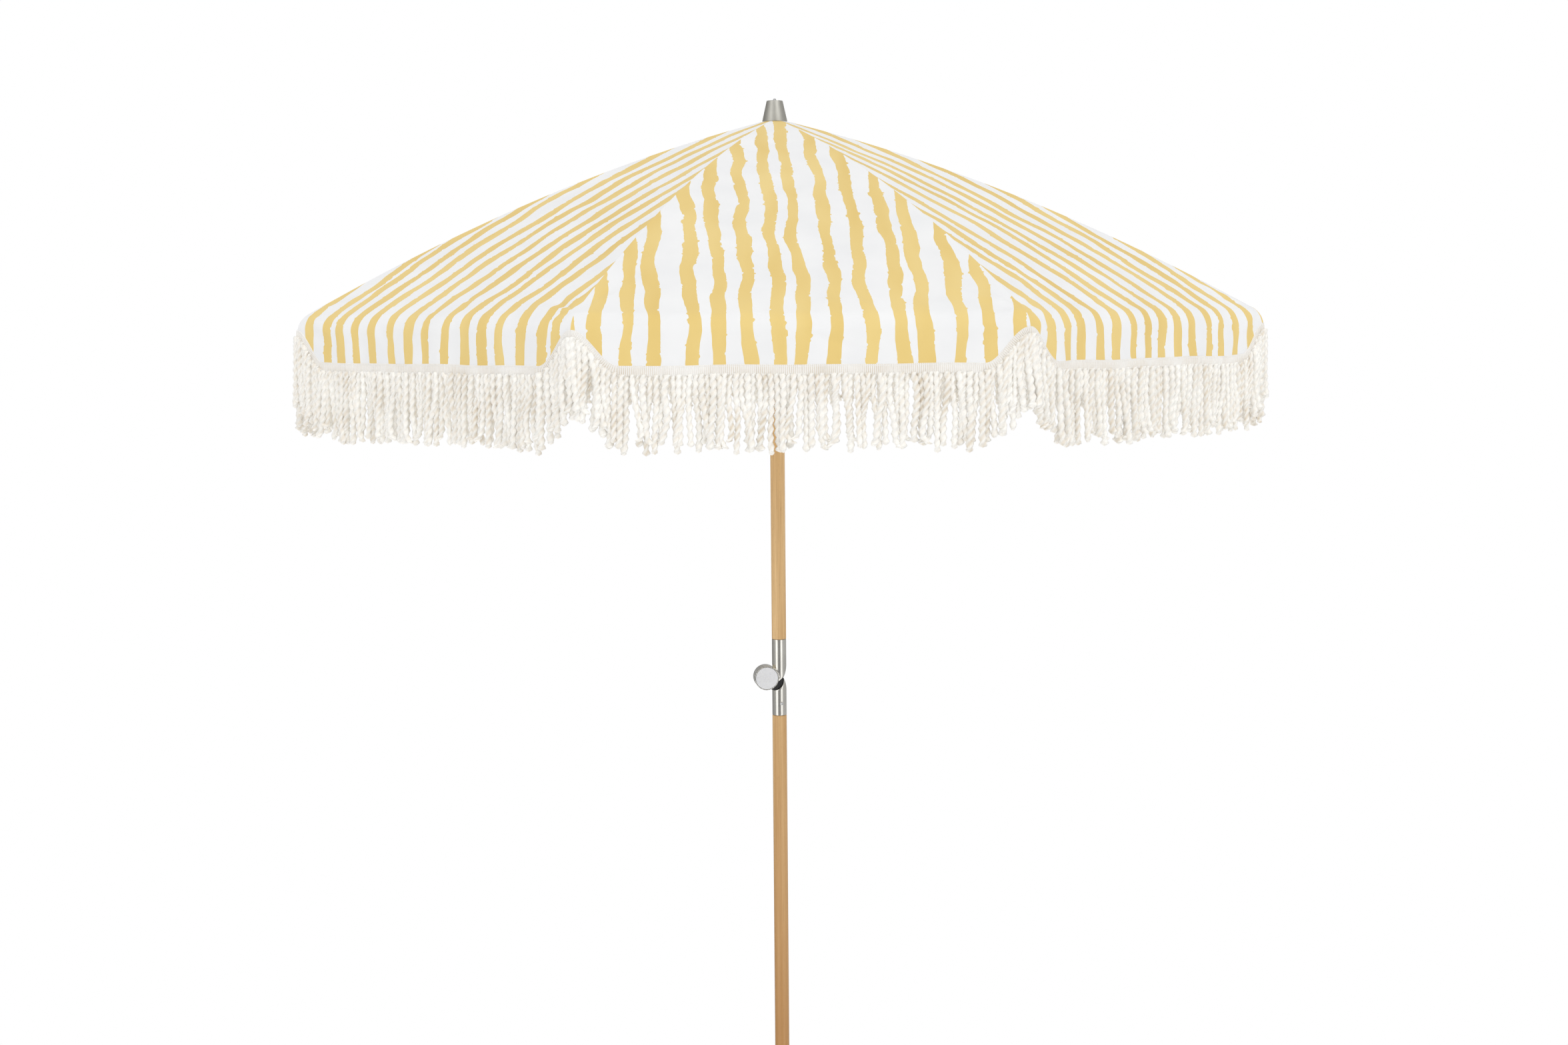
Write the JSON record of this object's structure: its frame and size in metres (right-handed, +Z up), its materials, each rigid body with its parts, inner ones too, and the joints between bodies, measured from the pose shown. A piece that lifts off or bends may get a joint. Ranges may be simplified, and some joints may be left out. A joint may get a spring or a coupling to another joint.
{
  "type": "beach umbrella",
  "caption": "Fringed octagonal beach umbrella on a two-piece wooden pole, with a push-button tilting knuckle, sliding runner and folding ribs.",
  "frame": {"origin": "centre of the pole's bottom end", "axes": "+Z up the pole, -Y out of the flat side of the front canopy panel, -X towards the tilting knuckle's drum"},
  "size_m": [2.3096, 2.3096, 2.5571],
  "materials": {
    "wood": "satin varnished light hardwood, fine straight grain",
    "satin_metal": "satin nickel",
    "steel": "zinc plated",
    "button": "smooth, light grey",
    "black_plastic": "matt",
    "white_plastic": "satin moulded",
    "fibreglass": "satin pultruded rod",
    "canopy_fabric": "white woven cloth with irregular soft yellow stripes",
    "fringe_cotton": "natural twisted cotton"
  },
  "bodies": {
    "lower_pole": {"lower_pole": "wood", "lower_knuckle": "satin_metal", "lower_sleeve_screw": "steel", "pivot_bolt": "steel", "pivot_nut": "steel", "friction_washer": "black_plastic", "tooth_ring": "steel"},
    "upper_pole": {"upper_pole": "wood", "upper_knuckle": "satin_metal", "upper_sleeve_screw": "steel", "button_spring": "steel", "crown_hub": "white_plastic", "crown_ring": "steel", "canopy_washer": "white_plastic", "finial": "satin_metal", "finial_stud": "steel"},
    "tilt_button": {"tilt_button": "button"},
    "runner": {"runner": "white_plastic", "runner_ring": "steel"},
    "runner_knob": {"runner_knob": "white_plastic"},
    "rib_1": {"rib_1": "fibreglass", "rib_joint_1": "black_plastic", "canopy_panel_1": "canopy_fabric"},
    "strut_1": {"strut_1": "steel"},
    "skirt_1": {"skirt_1": "fringe_cotton"},
    "rib_2": {"rib_2": "fibreglass", "rib_joint_2": "black_plastic", "canopy_panel_2": "canopy_fabric"},
    "strut_2": {"strut_2": "steel"},
    "skirt_2": {"skirt_2": "fringe_cotton"},
    "rib_3": {"rib_3": "fibreglass", "rib_joint_3": "black_plastic", "canopy_panel_3": "canopy_fabric"},
    "strut_3": {"strut_3": "steel"},
    "skirt_3": {"skirt_3": "fringe_cotton"},
    "rib_4": {"rib_4": "fibreglass", "rib_joint_4": "black_plastic", "canopy_panel_4": "canopy_fabric"},
    "strut_4": {"strut_4": "steel"},
    "skirt_4": {"skirt_4": "fringe_cotton"},
    "rib_5": {"rib_5": "fibreglass", "rib_joint_5": "black_plastic", "canopy_panel_5": "canopy_fabric"},
    "strut_5": {"strut_5": "steel"},
    "skirt_5": {"skirt_5": "fringe_cotton"},
    "rib_6": {"rib_6": "fibreglass", "rib_joint_6": "black_plastic", "canopy_panel_6": "canopy_fabric"},
    "strut_6": {"strut_6": "steel"},
    "skirt_6": {"skirt_6": "fringe_cotton"},
    "rib_7": {"rib_7": "fibreglass", "rib_joint_7": "black_plastic", "canopy_panel_7": "canopy_fabric"},
    "strut_7": {"strut_7": "steel"},
    "skirt_7": {"skirt_7": "fringe_cotton"},
    "rib_8": {"rib_8": "fibreglass", "rib_joint_8": "black_plastic", "canopy_panel_8": "canopy_fabric"},
    "strut_8": {"strut_8": "steel"},
    "skirt_8": {"skirt_8": "fringe_cotton"}
  },
  "joints": [
    {"name": "tilt", "type": "hinge", "parent": "lower_pole", "child": "upper_pole", "pos_m": [-0.03537, -0.00309, 1.046], "axis": [0.0872, -0.9962, 0], "range_deg": [0, 40]},
    {"name": "tilt_button_press", "type": "slide", "parent": "upper_pole", "child": "tilt_button", "axis": [-0.0872, 0.9962, 0], "range_m": [0, 0.0026], "deforming": ["button_spring"]},
    {"name": "fold", "type": "slide", "parent": "upper_pole", "child": "runner", "axis": [0, 0, -1], "range_m": [0, 0.66153], "deforming": ["canopy_panel_1", "canopy_panel_2", "canopy_panel_3", "canopy_panel_4", "canopy_panel_5", "canopy_panel_6", "canopy_panel_7", "canopy_panel_8", "skirt_1", "skirt_2", "skirt_3", "skirt_4", "skirt_5", "skirt_6", "skirt_7", "skirt_8"]},
    {"name": "runner_knob_pull", "type": "slide", "parent": "runner", "child": "runner_knob", "axis": [0, -1, 0], "range_m": [0, 0.005]},
    {"name": "rib_1_hinge", "type": "hinge", "parent": "upper_pole", "child": "rib_1", "pos_m": [-0.01301, -0.03141, 2.48106], "axis": [0.9239, -0.3827, 0], "range_deg": [0, 66.38]},
    {"name": "strut_1_hinge", "type": "hinge", "parent": "rib_1", "child": "strut_1", "pos_m": [-0.18971, -0.45801, 2.32708], "axis": [0.9239, -0.3827, 0], "range_deg": [-132.76, 0]},
    {"name": "skirt_1_hinge", "type": "hinge", "parent": "rib_1", "child": "skirt_1", "pos_m": [-0.47261, -1.14099, 1.99462], "axis": [0.9239, -0.3827, 0], "range_deg": [-66.38, 0]},
    {"name": "rib_2_hinge", "type": "hinge", "parent": "upper_pole", "child": "rib_2", "pos_m": [0.01301, -0.03141, 2.48106], "axis": [0.9239, 0.3827, 0], "range_deg": [0, 66.38]},
    {"name": "strut_2_hinge", "type": "hinge", "parent": "rib_2", "child": "strut_2", "pos_m": [0.18971, -0.45801, 2.32708], "axis": [0.9239, 0.3827, 0], "range_deg": [-132.76, 0]},
    {"name": "skirt_2_hinge", "type": "hinge", "parent": "rib_2", "child": "skirt_2", "pos_m": [0.47261, -1.14099, 1.99462], "axis": [0.9239, 0.3827, 0], "range_deg": [-66.38, 0]},
    {"name": "rib_3_hinge", "type": "hinge", "parent": "upper_pole", "child": "rib_3", "pos_m": [0.03141, -0.01301, 2.48106], "axis": [0.3827, 0.9239, 0], "range_deg": [0, 66.38]},
    {"name": "strut_3_hinge", "type": "hinge", "parent": "rib_3", "child": "strut_3", "pos_m": [0.45801, -0.18971, 2.32708], "axis": [0.3827, 0.9239, 0], "range_deg": [-132.76, 0]},
    {"name": "skirt_3_hinge", "type": "hinge", "parent": "rib_3", "child": "skirt_3", "pos_m": [1.14099, -0.47261, 1.99462], "axis": [0.3827, 0.9239, 0], "range_deg": [-66.38, 0]},
    {"name": "rib_4_hinge", "type": "hinge", "parent": "upper_pole", "child": "rib_4", "pos_m": [0.03141, 0.01301, 2.48106], "axis": [-0.3827, 0.9239, 0], "range_deg": [0, 66.38]},
    {"name": "strut_4_hinge", "type": "hinge", "parent": "rib_4", "child": "strut_4", "pos_m": [0.45801, 0.18971, 2.32708], "axis": [-0.3827, 0.9239, 0], "range_deg": [-132.76, 0]},
    {"name": "skirt_4_hinge", "type": "hinge", "parent": "rib_4", "child": "skirt_4", "pos_m": [1.14099, 0.47261, 1.99462], "axis": [-0.3827, 0.9239, 0], "range_deg": [-66.38, 0]},
    {"name": "rib_5_hinge", "type": "hinge", "parent": "upper_pole", "child": "rib_5", "pos_m": [0.01301, 0.03141, 2.48106], "axis": [-0.9239, 0.3827, 0], "range_deg": [0, 66.38]},
    {"name": "strut_5_hinge", "type": "hinge", "parent": "rib_5", "child": "strut_5", "pos_m": [0.18971, 0.45801, 2.32708], "axis": [-0.9239, 0.3827, 0], "range_deg": [-132.76, 0]},
    {"name": "skirt_5_hinge", "type": "hinge", "parent": "rib_5", "child": "skirt_5", "pos_m": [0.47261, 1.14099, 1.99462], "axis": [-0.9239, 0.3827, 0], "range_deg": [-66.38, 0]},
    {"name": "rib_6_hinge", "type": "hinge", "parent": "upper_pole", "child": "rib_6", "pos_m": [-0.01301, 0.03141, 2.48106], "axis": [-0.9239, -0.3827, 0], "range_deg": [0, 66.38]},
    {"name": "strut_6_hinge", "type": "hinge", "parent": "rib_6", "child": "strut_6", "pos_m": [-0.18971, 0.45801, 2.32708], "axis": [-0.9239, -0.3827, 0], "range_deg": [-132.76, 0]},
    {"name": "skirt_6_hinge", "type": "hinge", "parent": "rib_6", "child": "skirt_6", "pos_m": [-0.47261, 1.14099, 1.99462], "axis": [-0.9239, -0.3827, 0], "range_deg": [-66.38, 0]},
    {"name": "rib_7_hinge", "type": "hinge", "parent": "upper_pole", "child": "rib_7", "pos_m": [-0.03141, 0.01301, 2.48106], "axis": [-0.3827, -0.9239, 0], "range_deg": [0, 66.38]},
    {"name": "strut_7_hinge", "type": "hinge", "parent": "rib_7", "child": "strut_7", "pos_m": [-0.45801, 0.18971, 2.32708], "axis": [-0.3827, -0.9239, 0], "range_deg": [-132.76, 0]},
    {"name": "skirt_7_hinge", "type": "hinge", "parent": "rib_7", "child": "skirt_7", "pos_m": [-1.14099, 0.47261, 1.99462], "axis": [-0.3827, -0.9239, 0], "range_deg": [-66.38, 0]},
    {"name": "rib_8_hinge", "type": "hinge", "parent": "upper_pole", "child": "rib_8", "pos_m": [-0.03141, -0.01301, 2.48106], "axis": [0.3827, -0.9239, 0], "range_deg": [0, 66.38]},
    {"name": "strut_8_hinge", "type": "hinge", "parent": "rib_8", "child": "strut_8", "pos_m": [-0.45801, -0.18971, 2.32708], "axis": [0.3827, -0.9239, 0], "range_deg": [-132.76, 0]},
    {"name": "skirt_8_hinge", "type": "hinge", "parent": "rib_8", "child": "skirt_8", "pos_m": [-1.14099, -0.47261, 1.99462], "axis": [0.3827, -0.9239, 0], "range_deg": [-66.38, 0]}
  ],
  "couplings": [
    {"joint": "rib_1_hinge", "follows": "fold", "rad_per_m": 1.7508},
    {"joint": "strut_1_hinge", "follows": "fold", "rad_per_m": -3.5015},
    {"joint": "skirt_1_hinge", "follows": "fold", "rad_per_m": -1.7508},
    {"joint": "rib_2_hinge", "follows": "fold", "rad_per_m": 1.7508},
    {"joint": "strut_2_hinge", "follows": "fold", "rad_per_m": -3.5015},
    {"joint": "skirt_2_hinge", "follows": "fold", "rad_per_m": -1.7508},
    {"joint": "rib_3_hinge", "follows": "fold", "rad_per_m": 1.7508},
    {"joint": "strut_3_hinge", "follows": "fold", "rad_per_m": -3.5015},
    {"joint": "skirt_3_hinge", "follows": "fold", "rad_per_m": -1.7508},
    {"joint": "rib_4_hinge", "follows": "fold", "rad_per_m": 1.7508},
    {"joint": "strut_4_hinge", "follows": "fold", "rad_per_m": -3.5015},
    {"joint": "skirt_4_hinge", "follows": "fold", "rad_per_m": -1.7508},
    {"joint": "rib_5_hinge", "follows": "fold", "rad_per_m": 1.7508},
    {"joint": "strut_5_hinge", "follows": "fold", "rad_per_m": -3.5015},
    {"joint": "skirt_5_hinge", "follows": "fold", "rad_per_m": -1.7508},
    {"joint": "rib_6_hinge", "follows": "fold", "rad_per_m": 1.7508},
    {"joint": "strut_6_hinge", "follows": "fold", "rad_per_m": -3.5015},
    {"joint": "skirt_6_hinge", "follows": "fold", "rad_per_m": -1.7508},
    {"joint": "rib_7_hinge", "follows": "fold", "rad_per_m": 1.7508},
    {"joint": "strut_7_hinge", "follows": "fold", "rad_per_m": -3.5015},
    {"joint": "skirt_7_hinge", "follows": "fold", "rad_per_m": -1.7508},
    {"joint": "rib_8_hinge", "follows": "fold", "rad_per_m": 1.7508},
    {"joint": "strut_8_hinge", "follows": "fold", "rad_per_m": -3.5015},
    {"joint": "skirt_8_hinge", "follows": "fold", "rad_per_m": -1.7508}
  ]
}
